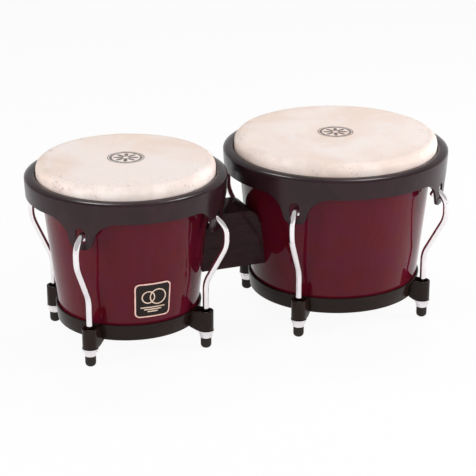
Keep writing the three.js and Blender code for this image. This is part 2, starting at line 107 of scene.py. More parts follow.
middle = Vector((-0.002, 0, 0.0845))
view_turn, view_height, view_distance = math.radians(-21.85), math.radians(20.72), 1.841
camera = bpy.data.objects.new("camera", bpy.data.cameras.new("camera"))
scene.collection.objects.link(camera)
scene.camera = camera
camera.data.lens = 140.2
camera.data.sensor_width = 36
level = math.cos(view_height)
view = Vector((math.sin(view_turn) * level, -math.cos(view_turn) * level, math.sin(view_height)))
camera.location = middle + view_distance * view
camera.rotation_euler = view.to_track_quat("Z", "Y").to_euler()


def soft_light(name, place, size, power, mirrored=True):
    lamp = bpy.data.objects.new(name, bpy.data.lights.new(name, "AREA"))
    scene.collection.objects.link(lamp)
    lamp.data.shape = "DISK"
    lamp.data.size = size
    lamp.data.energy = power
    lamp.location = place
    lamp.rotation_euler = (Vector(place) - middle).to_track_quat("Z", "Y").to_euler()
    lamp.visible_glossy = mirrored


soft_light("back_left", (-0.16, 0.74, 1.48), 0.3, 4.2)
soft_light("back_right", (0.62, 0.43, 1.48), 0.3, 4.2)
soft_light("left", (-1.49, -0.32, 0.58), 0.9, 12.5, mirrored=False)
soft_light("right", (1.41, -0.57, 0.58), 0.9, 21.0, mirrored=False)
soft_light("front", (-0.49, -1.82, 0.77), 0.9, 12.0, mirrored=False)

table_mesh = bpy.data.meshes.new("table")
table_bm = bmesh.new()
bmesh.ops.create_circle(table_bm, cap_ends=True, radius=30, segments=64)
table_bm.to_mesh(table_mesh)
table_bm.free()
table = bpy.data.objects.new("table", table_mesh)
scene.collection.objects.link(table)
table_paint = bpy.data.materials.new("table_white")
table_paint.use_nodes = True
table_tree = table_paint.node_tree
table_tree.nodes.clear()
table_matt = node(table_tree, "BsdfDiffuse", {"Color": (0.86, 0.86, 0.86, 1)})
table_glow = node(table_tree, "Emission", {"Color": white, "Strength": 1.0})
table_share = seen_directly(table_tree, to_eye=0.93, in_mirror=0.5)
table_mix = node(
    table_tree, "MixShader", {0: table_share, 1: table_matt.outputs[0], 2: table_glow.outputs[0]}
)
# from beneath it is clear, so that the drums' undersides can be seen
table_under = node(table_tree, "NewGeometry").outputs["Backfacing"]
table_clear = node(table_tree, "BsdfTransparent")
table_seen = node(
    table_tree, "MixShader", {0: table_under, 1: table_mix.outputs[0], 2: table_clear.outputs[0]}
)
node(table_tree, "OutputMaterial", {"Surface": table_seen.outputs[0]})
table_mesh.materials.append(table_paint)


# ---- Shells ------------------------------------------------------------------------------
# Each shell is a tapered tube glued up from wooden staves and turned round, lacquered deep
# red outside and left bare inside. The skin runs over its rounded top edge.

drums = {
    "small": {"top": 84.5, "bottom": 67.4, "inwards": 1},
    "large": {"top": 99.3, "bottom": 83.0, "inwards": -1},
}
shell_low, shell_high, shell_wall = 24.7, 180.0, 9.0
edge_round, edge_width, edge_bevel, edge_break = 5.5, 6.5, 3, 0.8
bolt_heights, bolt_hole_radius = (77.8, 105.8), 4.4
seat_radius, seat_depth = 10.7, 1.6
fit = 0.3
drum_steps = 192
weld = 0.001  # corners nearer than this are one
for name, drum in drums.items():
    low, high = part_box(f"{name}_shell")
    drum["x"] = 500 * (low.x + high.x)


def shell_radius(drum, z):
    slope = (drum["top"] - drum["bottom"]) / (shell_high - shell_low)
    return drum["bottom"] + slope * (z - shell_low)


def section(bm, corners, closed=True, flat=False):
    """Draws an outline from (across, up, rounding, segments) corners, upright or lying flat."""
    points = [bm.verts.new((c[0], c[1], 0) if flat else (c[0], 0, c[1])) for c in corners]
    ends = points[1:] + points[:1] if closed else points[1:]
    for a, b in zip(points, ends):
        bm.edges.new((a, b))
    for point, corner in zip(points, corners):
        if len(corner) > 2:
            bmesh.ops.bevel(
                bm,
                geom=[point],
                offset=corner[2],
                offset_type="OFFSET",
                segments=corner[3] if len(corner) > 3 else 8,
                profile=0.5,
                affect="VERTICES",
                material=-1,
            )
    bmesh.ops.remove_doubles(bm, verts=bm.verts, dist=weld)


def turned(corners, closed=True, steps=48):
    """Spins a section round the upright axis. An open one starts and ends on the axis."""
    bm = bmesh.new()
    section(bm, corners, closed)
    return spun_round(bm, steps)


def spun_round(bm, steps):
    """Spins an upright outline into a closed shape."""
    bmesh.ops.spin(
        bm,
        geom=bm.verts[:] + bm.edges[:],
        cent=(0, 0, 0),
        axis=(0, 0, 1),
        angle=2 * math.pi,
        steps=steps,
        use_merge=True,
    )
    bmesh.ops.remove_doubles(bm, verts=bm.verts, dist=weld)
    bmesh.ops.recalc_face_normals(bm, faces=bm.faces)
    return bm


def carved(bm, cutter, operation="DIFFERENCE", overlapping=False):
    """Cuts one closed shape with another, as a saw or a drill would."""
    blanks = []
    for shape in (bm, cutter):
        mesh = bpy.data.meshes.new("blank")
        shape.to_mesh(mesh)
        shape.free()
        blank = bpy.data.objects.new("blank", mesh)
        scene.collection.objects.link(blank)
        blanks.append(blank)
    cut = blanks[0].modifiers.new("cut", "BOOLEAN")
    cut.object = blanks[1]
    cut.operation = operation
    cut.solver = "EXACT"
    cut.use_self = overlapping
    result = bmesh.new()
    result.from_object(blanks[0], bpy.context.evaluated_depsgraph_get())
    for blank in blanks:
        bpy.data.meshes.remove(blank.data)
    bmesh.ops.remove_doubles(result, verts=result.verts, dist=2 * weld)
    return result


def upright_bar(radius, length, segments):
    """A bar standing on both sides of the origin: a hexagonal one, or a round one."""
    bm = bmesh.new()
    bmesh.ops.create_cone(
        bm, cap_ends=True, segments=segments, radius1=radius, radius2=radius, depth=length
    )
    return bm


def bar_across(radius, near, far, z, segments):
    """A round bar lying along X, to drill a hole with."""
    bm = upright_bar(radius, far - near, segments)
    bmesh.ops.rotate(bm, verts=bm.verts, cent=(0, 0, 0), matrix=Matrix.Rotation(math.pi / 2, 3, "Y"))
    bmesh.ops.translate(bm, verts=bm.verts, vec=((near + far) / 2, 0, z))
    return bm


def edges_rounded(bm, edges, offset, segments):
    bmesh.ops.bevel(
        bm,
        geom=edges,
        offset=offset,
        segments=segments,
        profile=0.5,
        affect="EDGES",
        material=-1,
    )


def moved(bm, x=0.0, y=0.0, z=0.0, angle=0.0):
    """Turns a shape about the upright axis by degrees, then shifts it by millimetres."""
    about_z = Matrix.Rotation(math.radians(angle), 3, "Z")
    bmesh.ops.rotate(bm, verts=bm.verts, cent=(0, 0, 0), matrix=about_z)
    bmesh.ops.translate(bm, verts=bm.verts, vec=(x, y, z))
    return bm


def finished(name, bm, body, nodes, materials, sharp=38):
    """Makes a piece of a shape in millimetres: smooth but for its sharp edges, on its body."""
    bmesh.ops.scale(bm, verts=bm.verts, vec=(0.001, 0.001, 0.001))
    mesh = bpy.data.meshes.new(name)
    bm.to_mesh(mesh)
    bm.free()
    mesh.shade_smooth()
    mesh.set_sharp_from_angle(angle=math.radians(sharp))
    piece = bpy.data.objects.new(name, mesh)
    scene.collection.objects.link(piece)
    for material in materials:
        mesh.materials.append(material)
    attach(piece, body)
    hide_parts(*nodes)
    return piece


def group(name, inputs, outputs):
    """Starts a shared effect. Inputs are (kind, name, value); outputs are (kind, name)."""
    tree = bpy.data.node_groups.new(name, "ShaderNodeTree")
    for kind, label, value in inputs:
        socket = tree.interface.new_socket(label, in_out="INPUT", socket_type="NodeSocket" + kind)
        if value is not None:
            socket.default_value = value
    for kind, label in outputs:
        tree.interface.new_socket(label, in_out="OUTPUT", socket_type="NodeSocket" + kind)
    return tree, tree.nodes.new("NodeGroupInput").outputs


def use(tree, shared, inputs):
    made = tree.nodes.new("ShaderNodeGroup")
    made.node_tree = shared
    for name, value in inputs.items():
        if isinstance(value, bpy.types.NodeSocket):
            tree.links.new(value, made.inputs[name])
        else:
            made.inputs[name].default_value = value
    return made.outputs


def put_out(tree, **sockets):
    end = tree.nodes.new("NodeGroupOutput")
    for name, socket in sockets.items():
        tree.links.new(socket, end.inputs[name])


def maths(tree, operation, *values):
    return node(tree, "Math", dict(enumerate(values)), operation=operation).outputs[0]


def noise(tree, vector, scale, detail=3.0, roughness=0.5, distortion=0.0):
    inputs = {
        "Vector": vector,
        "Scale": scale,
        "Detail": detail,
        "Roughness": roughness,
        "Distortion": distortion,
    }
    return node(tree, "TexNoise", inputs).outputs["Fac"]


def stretched(tree, vector, x, y, z):
    return node(tree, "Mapping", {"Vector": vector, "Scale": (x, y, z)}).outputs[0]


def between(tree, value, low, high, to_low=0.0, to_high=1.0):
    inputs = {"Value": value, 1: low, 2: high, 3: to_low, 4: to_high}
    return node(tree, "MapRange", inputs, interpolation_type="SMOOTHSTEP").outputs[0]


def blended(tree, share, a, b):
    return node(tree, "Mix", {0: share, 6: a, 7: b}, data_type="RGBA").outputs[2]


def colour(red, green, blue):
    """A colour as it looks on a screen, from 0 to 255, turned into light."""
    parts = [c / 255 for c in (red, green, blue)]
    return tuple(c / 12.92 if c < 0.04045 else ((c + 0.055) / 1.055) ** 2.4 for c in parts) + (1.0,)


def new_finish(name, **sockets):
    """Starts a material, with plain numbers set on the shader's own sockets."""
    material = bpy.data.materials.new(name)
    material.use_nodes = True
    tree = material.node_tree
    shader = tree.nodes["Principled BSDF"]
    for label, value in sockets.items():
        shader.inputs[label.replace("_", " ")].default_value = value
    return material, tree, shader


def feed(tree, shader, **sockets):
    for label, socket in sockets.items():
        tree.links.new(socket, shader.inputs[label.replace("_", " ")])


def relief(tree, height, strength, depth):
    return node(tree, "Bump", {"Height": height, "Strength": strength, "Distance": depth}).outputs[0]


# Wood grain runs upright: fine pores, soft bands of colour, and a tone that differs a little
# from one stave to the next.
grain_tree, grain_in = group(
    "wood_grain",
    [("Vector", "Vector", None), ("Float", "Staves", 18.0)],
    [("Float", "Bands"), ("Float", "Pores"), ("Float", "Stave"), ("Float", "Joint")],
)
grain_long = stretched(grain_tree, grain_in["Vector"], 1, 1, 0.09)
grain_soft = stretched(grain_tree, grain_in["Vector"], 1, 1, 0.14)
grain_at = node(grain_tree, "SeparateXYZ", {0: grain_in["Vector"]}).outputs
grain_turn = maths(grain_tree, "ARCTAN2", grain_at[1], grain_at[0])
grain_turn = maths(grain_tree, "DIVIDE", grain_turn, 2 * math.pi)
grain_share = maths(grain_tree, "MULTIPLY", grain_turn, grain_in["Staves"])
grain_index = maths(grain_tree, "FLOOR", grain_share)
grain_draw = node(grain_tree, "TexWhiteNoise", {"W": grain_index}, noise_dimensions="1D")
grain_part = maths(grain_tree, "SUBTRACT", grain_share, grain_index)
grain_edge = maths(grain_tree, "MINIMUM", grain_part, maths(grain_tree, "SUBTRACT", 1.0, grain_part))
put_out(
    grain_tree,
    Bands=between(grain_tree, noise(grain_tree, grain_soft, 170, 4, 0.6, 0.3), 0.3, 0.7),
    Pores=between(grain_tree, noise(grain_tree, grain_long, 900, 2, 0.6), 0.52, 0.74),
    Stave=grain_draw.outputs["Value"],
    Joint=between(grain_tree, grain_edge, 0.0, 0.012, 1.0, 0.0),
)

# Handling leaves faint smears and fine dust on every hard surface.
marks_tree, marks_in = group(
    "handling_marks",
    [("Vector", "Vector", None), ("Float", "Size", 30.0)],
    [("Float", "Smears"), ("Float", "Dust")],
)
marks_broad = noise(marks_tree, marks_in["Vector"], marks_in["Size"], 4, 0.6, 0.8)
marks_fine = noise(marks_tree, marks_in["Vector"], 1400, 1, 0.4)
put_out(
    marks_tree,
    Smears=between(marks_tree, marks_broad, 0.4, 0.75),
    Dust=between(marks_tree, marks_fine, 0.68, 0.8),
)


def about_axis(tree, drum):
    """Object coordinates measured from a drum's own axis."""
    at = node(tree, "TexCoord").outputs["Object"]
    return node(tree, "Mapping", {"Vector": at, "Location": (-drum["x"] / 1000, 0, 0)}).outputs[0]


def lacquer_finish(name, drum):
    material, tree, shader = new_finish(
        name, Specular_IOR_Level=0.0, Coat_Weight=1.0, Coat_Roughness=0.03, Coat_IOR=1.28
    )
    at = about_axis(tree, drum)
    grain = use(tree, grain_tree, {"Vector": at, "Staves": 18.0})
    marks = use(tree, marks_tree, {"Vector": at, "Size": 22.0})
    red = blended(tree, grain["Bands"], colour(82, 12, 22), colour(88, 15, 26))
    mottle = between(tree, noise(tree, at, 42, 3, 0.6), 0.35, 0.65, 0.0, 0.85)
    red = blended(tree, mottle, red, colour(84, 14, 36))
    toned = between(tree, grain["Stave"], 0.0, 1.0, 0.0, 0.16)
    red = blended(tree, toned, red, colour(76, 10, 20))
    pored = maths(tree, "MULTIPLY", grain["Pores"], 0.16)
    red = blended(tree, pored, red, colour(58, 9, 15))
    feed(tree, shader, Base_Color=red)
    feed(tree, shader, Roughness=between(tree, grain["Pores"], 0.0, 1.0, 0.42, 0.6))
    feed(tree, shader, Coat_Weight=between(tree, marks["Smears"], 0.0, 1.0, 1.0, 0.93))
    feed(tree, shader, Normal=relief(tree, grain["Pores"], 0.1, -0.0001))
    return material


def bare_wood_finish(name, drum):
    material, tree, shader = new_finish(name, Specular_IOR_Level=0.35)
    at = about_axis(tree, drum)
    grain = use(tree, grain_tree, {"Vector": at, "Staves": 18.0})
    tan = blended(tree, grain["Bands"], colour(176, 134, 92), colour(202, 163, 118))
    tan = blended(tree, between(tree, grain["Stave"], 0.0, 1.0, 0.0, 0.5), tan, colour(160, 116, 78))
    tan = blended(tree, maths(tree, "MULTIPLY", grain["Pores"], 0.5), tan, colour(118, 82, 54))
    tan = blended(tree, maths(tree, "MULTIPLY", grain["Joint"], 0.8), tan, colour(84, 58, 38))
    feed(tree, shader, Base_Color=tan)
    feed(tree, shader, Roughness=between(tree, grain["Pores"], 0.0, 1.0, 0.58, 0.75))
    sanded = maths(tree, "ADD", grain["Pores"], maths(tree, "MULTIPLY", grain["Joint"], 2.0))
    feed(tree, shader, Normal=relief(tree, sanded, 0.35, -0.0003))
    return material


for name, drum in drums.items():
    inner_low = shell_radius(drum, shell_low) - shell_wall
    inner_high = shell_radius(drum, shell_high - edge_bevel) - shell_wall
    shell = turned(
        [
            (inner_low, shell_low, edge_break, 3),
            (drum["bottom"], shell_low, edge_break, 3),
            (drum["top"], shell_high, edge_round, 10),
            (shell_radius(drum, shell_high - 4) - edge_width, shell_high, edge_break, 3),
            (inner_high, shell_high - edge_bevel, edge_break, 3),
        ],
        steps=drum_steps,
    )
    # flat seats are cut inside for the bolts' washers, and a hole right through for each bolt
    for z in bolt_heights:
        seat = shell_radius(drum, z) - shell_wall + seat_depth
        for radius, far in ((seat_radius, seat), (bolt_hole_radius, seat + 14)):
            drill = bar_across(radius, seat - 8, far, z, segments=40)
            if drum["inwards"] < 0:
                moved(drill, angle=180)
            shell = carved(shell, drill)
    for face in shell.faces:
        at = face.calc_center_median()
        outside = math.hypot(at.x, at.y) > shell_radius(drum, at.z) - shell_wall / 2
        face.material_index = 0 if outside else 1
    moved(shell, x=drum["x"])
    finished(
        f"{name}_shell_wood",
        shell,
        "frame",
        [f"{name}_shell"],
        [lacquer_finish(f"{name}_lacquer", drum), bare_wood_finish(f"{name}_bare_wood", drum)],
    )


# ---- Badge -------------------------------------------------------------------------------
# A thin square plate of pressed metal, bent to the small shell and glued on: a polished rim
# round a black field, with a plain pattern of two rings and three bars standing on it.

badge_width, badge_height, badge_corner, badge_z = 35.3, 35.5, 5.0, 64.0
field_thick, border_lift, border_width, border_slope = 0.6, 0.4, 1.4, 0.3
emblem_low, emblem_high, line_half_width = 0.5, 0.85, 0.55


def only(kind, geom):
    return [part for part in geom if isinstance(part, kind)]


def extruded(bm, geom, vector):
    """Extrudes faces along a vector, and gives back what was made."""
    grown = bmesh.ops.extrude_face_region(bm, geom=geom)["geom"]
    bmesh.ops.translate(bm, verts=only(bmesh.types.BMVert, grown), vec=vector)
    return grown


def bent_to_shell(bm, drum, z_middle, gap):
    """Bends a flat shape, drawn in the XY plane with its face up, round the front of a shell."""
    for vert in bm.verts:
        across, up, out = vert.co
        z = z_middle + up
        radius = shell_radius(drum, z) + gap + out
        angle = across / (shell_radius(drum, z_middle) + gap)
        vert.co = (radius * math.sin(angle), -radius * math.cos(angle), z)


def face_from(corners, flat=False):
    bm = bmesh.new()
    section(bm, corners, flat=flat)
    bmesh.ops.contextual_create(bm, geom=bm.edges[:])
    return bm


def flat_plate(corners, thick, inset):
    """A flat plate from (x, y, rounding) corners, set in from its edge step by step."""
    bm = face_from(corners, flat=True)
    for width in inset:
        centre = [max(bm.faces, key=lambda face: len(face.verts))]
        bmesh.ops.inset_region(
            bm, faces=centre, thickness=width, use_even_offset=True, use_boundary=True
        )
    bmesh.ops.recalc_face_normals(bm, faces=bm.faces)
    if bm.faces[0].normal.z < 0:
        bmesh.ops.reverse_faces(bm, faces=bm.faces[:])
    extruded(bm, bm.faces[:], (0, 0, thick))
    bmesh.ops.recalc_face_normals(bm, faces=bm.faces)
    return bm


half_width, half_height = badge_width / 2, badge_height / 2
badge = flat_plate(
    [
        (-half_width, -half_height, badge_corner),
        (half_width, -half_height, badge_corner),
        (half_width, half_height, badge_corner),
        (-half_width, half_height, badge_corner),
    ],
    field_thick,
    inset=(border_width, border_slope),
)
for across in range(-16, 17, 2):
    everything = badge.verts[:] + badge.edges[:] + badge.faces[:]
    bmesh.ops.bisect_plane(badge, geom=everything, plane_co=(across, 0, 0), plane_no=(1, 0, 0))
raised = []
reach = border_width + 0.1
for face in badge.faces:
    at = face.calc_center_median()
    inside = abs(at.x) < half_width - reach and abs(at.y) < half_height - reach
    corner_x, corner_y = abs(at.x) - half_width + badge_corner, abs(at.y) - half_height + badge_corner
    if corner_x > 0 and corner_y > 0:
        inside = math.hypot(corner_x, corner_y) < badge_corner - reach
    face.material_index = 1 if inside else 0
    if not inside and face.normal.z > 0.9:
        raised.append(face)
lifted = {vert for face in raised for vert in face.verts}
bmesh.ops.translate(badge, verts=list(lifted), vec=(0, 0, border_lift))
sharp_edges = [edge for edge in badge.edges if edge.is_manifold and edge.calc_face_angle() > 0.9]
edges_rounded(badge, sharp_edges, 0.18, 2)


def joined(bm, other, copies=(0,)):
    """Adds turned copies of another shape to this one."""
    mesh = bpy.data.meshes.new("copy")
    other.to_mesh(mesh)
    other.free()
    for angle in copies:
        known = set(bm.verts)
        bm.from_mesh(mesh)
        fresh = [vert for vert in bm.verts if vert not in known]
        about_z = Matrix.Rotation(math.radians(angle), 3, "Z")
        bmesh.ops.rotate(bm, verts=fresh, cent=(0, 0, 0), matrix=about_z)
    bpy.data.meshes.remove(mesh)
    return bm


emblem = bmesh.new()
for across, up, radius in ((-4.4, 3.2, 6.0), (5.0, 3.2, 7.6)):
    ring = turned(
        [
            (radius - line_half_width, emblem_low),
            (radius + line_half_width, emblem_low),
            (radius + line_half_width, emblem_high, 0.2, 2),
            (radius - line_half_width, emblem_high, 0.2, 2),
        ],
        steps=56,
    )
    joined(emblem, moved(ring, x=across, y=up))
for up, length in ((-7.4, 24.0), (-9.6, 17.0), (-11.8, 10.0)):
    bar = bmesh.new()
    bmesh.ops.create_cube(bar, size=1.0)
    bmesh.ops.scale(bar, verts=bar.verts, vec=(length, 1.0, 0.3))
    bmesh.ops.subdivide_edges(bar, edges=[e for e in bar.edges if e.calc_length() > 5], cuts=11)
    joined(emblem, moved(bar, y=up, z=0.7))
for face in emblem.faces:
    face.material_index = 2
joined(badge, emblem)
bent_to_shell(badge, drums["small"], badge_z, fit)
moved(badge, x=drums["small"]["x"])


def badge_finish(name, pale, dark, metallic, roughness):
    material, tree, shader = new_finish(name, Metallic=metallic, Specular_IOR_Level=0.2)
    at = node(tree, "TexCoord").outputs["Object"]
    marks = use(tree, marks_tree, {"Vector": at, "Size": 120.0})
    feed(tree, shader, Base_Color=blended(tree, marks["Smears"], pale, dark))
    feed(tree, shader, Roughness=between(tree, marks["Smears"], 0.0, 1.0, roughness, roughness + 0.15))
    feed(tree, shader, Normal=relief(tree, noise(tree, at, 2500, 2), 0.08, 0.0001))
    return material


finished(
    "shell_badge",
    badge,
    "frame",
    ["badge"],
    [
        badge_finish("badge_rim", colour(238, 198, 186), colour(222, 176, 164), 0.3, 0.35),
        badge_finish("badge_field", colour(28, 20, 19), colour(36, 27, 25), 0.0, 0.4),
        badge_finish("badge_emblem", colour(238, 212, 192), colour(222, 192, 170), 0.3, 0.45),
    ],
)


# ---- Centre block ------------------------------------------------------------------------
# One block of solid wood, stained nearly black-brown and lacquered. Its ends are hollowed to
# sit against the two shells, its upper corners are rounded, and two bolts run through it.

block_low, block_high, block_thick = 63.0, 120.6, 44.0
block_corner, block_edge = 12.5, 2.6
corner_z = block_high - 13
far_left = drums["small"]["x"] + drums["small"]["bottom"] / 2
far_right = drums["large"]["x"] - drums["large"]["bottom"] / 2
left = drums["small"]["x"] + shell_radius(drums["small"], corner_z)
right = drums["large"]["x"] - shell_radius(drums["large"], corner_z)
block = face_from(
    [
        (far_left, block_low),
        (far_right, block_low),
        (far_right, corner_z - 12),
        (right + 1, corner_z),
        (right, block_high, block_corner, 10),
        (left, block_high, block_corner, 10),
        (left - 1, corner_z),
        (far_left, corner_z - 12),
    ],
)
extruded(block, block.faces[:], (0, block_thick, 0))
moved(block, y=-block_thick / 2)
bmesh.ops.recalc_face_normals(block, faces=block.faces)
long_edges = [
    edge
    for edge in block.edges
    if edge.calc_face_angle() > 1.2 and abs(edge.verts[0].co.y - edge.verts[1].co.y) < 0.1
]
bmesh.ops.bevel(
    block,
    geom=long_edges,
    offset=block_edge,
    segments=5,
    profile=0.5,
    affect="EDGES",
    material=-1,
    clamp_overlap=True,
)
for drum in drums.values():
    low, high = block_low - 5, block_high + 5
    hollow = turned(
        [
            (0, low),
            (shell_radius(drum, low) + fit, low),
            (shell_radius(drum, high) + fit, high),
            (0, high),
        ],
        closed=False,
        steps=drum_steps,
    )
    block = carved(block, moved(hollow, x=drum["x"]))
for z in bolt_heights:
    block = carved(block, bar_across(bolt_hole_radius, -100, 100, z, segments=32))

block_stain, stain_tree, stain_shader = new_finish(
    "block_stain", Specular_IOR_Level=0.0, Coat_Weight=0.2, Coat_Roughness=0.08, Coat_IOR=1.4
)
stain_at = node(stain_tree, "TexCoord").outputs["Object"]
stain_place = {"Location": (0.3, 0.3, 0), "Rotation": (0, math.pi / 2, 0)}
stain_turned = node(stain_tree, "Mapping", {"Vector": stain_at, **stain_place})
stain_grain = use(stain_tree, grain_tree, {"Vector": stain_turned.outputs[0], "Staves": 1.0})
stain = blended(stain_tree, stain_grain["Bands"], colour(44, 28, 31), colour(53, 34, 37))
stain_pores = maths(stain_tree, "MULTIPLY", stain_grain["Pores"], 0.5)
stain = blended(stain_tree, stain_pores, stain, colour(24, 14, 17))
feed(
    stain_tree,
    stain_shader,
    Base_Color=stain,
    Roughness=between(stain_tree, stain_grain["Pores"], 0.0, 1.0, 0.4, 0.6),
    Normal=relief(stain_tree, stain_grain["Pores"], 0.12, -0.0002),
)
finished("joining_block", block, "frame", ["centre_block"], [block_stain])


# ---- Bolts -------------------------------------------------------------------------------
# Two zinc-plated hexagon bolts pass through both shells and the block, each with a washer
# under its head in the small drum and a washer and nut in the large one.


def plated_finish(name, pale, dark, roughness, size):
    material, tree, shader = new_finish(name, Metallic=1.0)
    at = node(tree, "TexCoord").outputs["Object"]
    marks = use(tree, marks_tree, {"Vector": at, "Size": size})
    tone = blended(tree, marks["Smears"], pale, dark)
    tone = blended(tree, maths(tree, "MULTIPLY", marks["Dust"], 0.3), tone, colour(170, 165, 165))
    feed(
        tree,
        shader,
        Base_Color=tone,
        Roughness=between(tree, marks["Smears"], 0.0, 1.0, roughness, roughness * 1.5),
        Normal=relief(tree, noise(tree, at, 1800, 2, 0.5), 0.04, 0.0001),
    )
    return material


zinc = plated_finish("zinc_plate", colour(196, 196, 198), colour(168, 167, 166), 0.32, 90.0)
for bolt in ("lower_bolt", "upper_bolt"):
    for node_name in (bolt, f"{bolt}_head_washer", f"{bolt}_nut_washer", f"{bolt}_nut"):
        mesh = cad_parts[node_name].data
        mesh.materials.clear()
        mesh.materials.append(zinc)


# ---- Bottom rings ------------------------------------------------------------------------
# A strip of sheet steel bent to an angle section that the shell stands in, with four straps
# bent round like a U and welded on to hold the rods. Painted satin black.

ring_low, ring_high = 22.4, 38.8
ring_sheet, flange = 2.0, 7.0
loop_low, loop_inner, loop_sheet, loop_seat = 19.0, 5.4, 2.0, 6.0
drums["small"]["lug"] = 82.8
drums["large"]["lug"] = 95.6
lug_angles = (45, 135, 225, 315)


def strap_loop(drum):
    """Bends a strap out from the ring, round the rod and back, and slopes its lower edge."""
    bm = bmesh.new()
    inwards = shell_radius(drum, ring_low) + fit + 1.0
    near, far = loop_inner, loop_inner + loop_sheet
    corners = [(-far, loop_low), (-near, loop_low), (-near, ring_high), (-far, ring_high)]
    face = bm.faces.new([bm.verts.new((inwards, y, z)) for y, z in corners])
    grown = extruded(bm, [face], (drum["lug"] - inwards, 0, 0))
    end_face = only(bmesh.types.BMFace, grown)[0]
    spun = bmesh.ops.spin(
        bm,
        geom=[end_face] + list(end_face.edges) + list(end_face.verts),
        cent=(drum["lug"], 0, 0),
        axis=(0, 0, 1),
        angle=math.pi,
        steps=24,
    )["geom_last"]
    extruded(bm, only(bmesh.types.BMFace, spun), (inwards - drum["lug"], 0, 0))
    bmesh.ops.remove_doubles(bm, verts=bm.verts, dist=weld)
    inner = [f for f in bm.faces if all(len(e.link_faces) > 2 for e in f.edges)]
    bmesh.ops.delete(bm, geom=inner, context="FACES_ONLY")
    seat = drum["lug"] - loop_seat
    rise = (ring_low - loop_low) / (seat - drum["bottom"])
    cut = bmesh.ops.bisect_plane(
        bm,
        geom=bm.verts[:] + bm.edges[:] + bm.faces[:],
        plane_co=(seat, 0, loop_low),
        plane_no=(-rise, 0, -1),
        clear_outer=True,
    )
    rims = [e for e in only(bmesh.types.BMEdge, cut["geom_cut"]) if e.is_valid]
    bmesh.ops.holes_fill(bm, edges=rims, sides=0)
    bmesh.ops.recalc_face_normals(bm, faces=bm.faces)
    sharp = [e for e in bm.edges if e.is_manifold and e.calc_face_angle() > 1.2]
    edges_rounded(bm, sharp, 0.35, 3)
    return bm


def black_paint_finish(name, drum, brown, shine):
    material, tree, shader = new_finish(name, Specular_IOR_Level=shine)
    at = about_axis(tree, drum)
    marks = use(tree, marks_tree, {"Vector": at, "Size": 26.0})
    tone = blended(tree, marks["Smears"], colour(*brown), colour(*(c * 1.25 for c in brown)))
    tone = blended(tree, maths(tree, "MULTIPLY", marks["Dust"], 0.16), tone, colour(120, 110, 106))
    feed(tree, shader, Base_Color=tone)
    feed(tree, shader, Roughness=between(tree, marks["Smears"], 0.0, 1.0, 0.2, 0.27))
    orange_peel = noise(tree, at, 950, 2, 0.5)
    feed(tree, shader, Normal=relief(tree, orange_peel, 0.06, 0.00025))
    return material


for name, drum in drums.items():
    low, high = shell_radius(drum, ring_low) + fit, shell_radius(drum, ring_high) + fit
    lip = shell_radius(drum, shell_low - fit) + fit
    ring = turned(
        [
            (low - flange, ring_low, 0.5, 3),
            (low + ring_sheet, ring_low, 1.8, 6),
            (high + ring_sheet, ring_high, 0.7, 4),
            (high, ring_high, 0.5, 3),
            (lip, shell_low - fit),
            (low - flange, shell_low - fit, 0.5, 3),
        ],
        steps=drum_steps,
    )
    paint = black_paint_finish(f"{name}_black_paint", drum, (28, 17, 13), 0.2)
    loops = joined(bmesh.new(), strap_loop(drum), copies=lug_angles)
    ring = carved(ring, loops, "UNION")
    moved(ring, x=drum["x"])
    finished(
        f"{name}_base_ring", ring, "frame", [f"{name}_bottom_ring"], [paint], sharp=42
    )


# ---- Heads and flesh hoops ---------------------------------------------------------------
# Rawhide soaked, drawn over the shell's rounded edge, folded round a hoop of steel wire and
# left to dry. It dries cream, with cloudy patches, pores and small pleats near the fold.

skin_top, skin_thick, hoop_z, hoop_wire = 181.5, 1.2, 158.0, 2.4
skin_round_outside, skin_round_inside = 7.4, 6.2
pleats_high, pleat_depth = 179, 0.10
fold = hoop_wire + 0.4
fold_round_inside, fold_round_outside = fold - weld, fold + skin_thick - weld


def from_middle(tree, place):
    """The distance from the upright axis, of separated coordinates."""
    squares = [maths(tree, "MULTIPLY", place[i], place[i]) for i in (0, 1)]
    return maths(tree, "SQRT", maths(tree, "ADD", *squares))


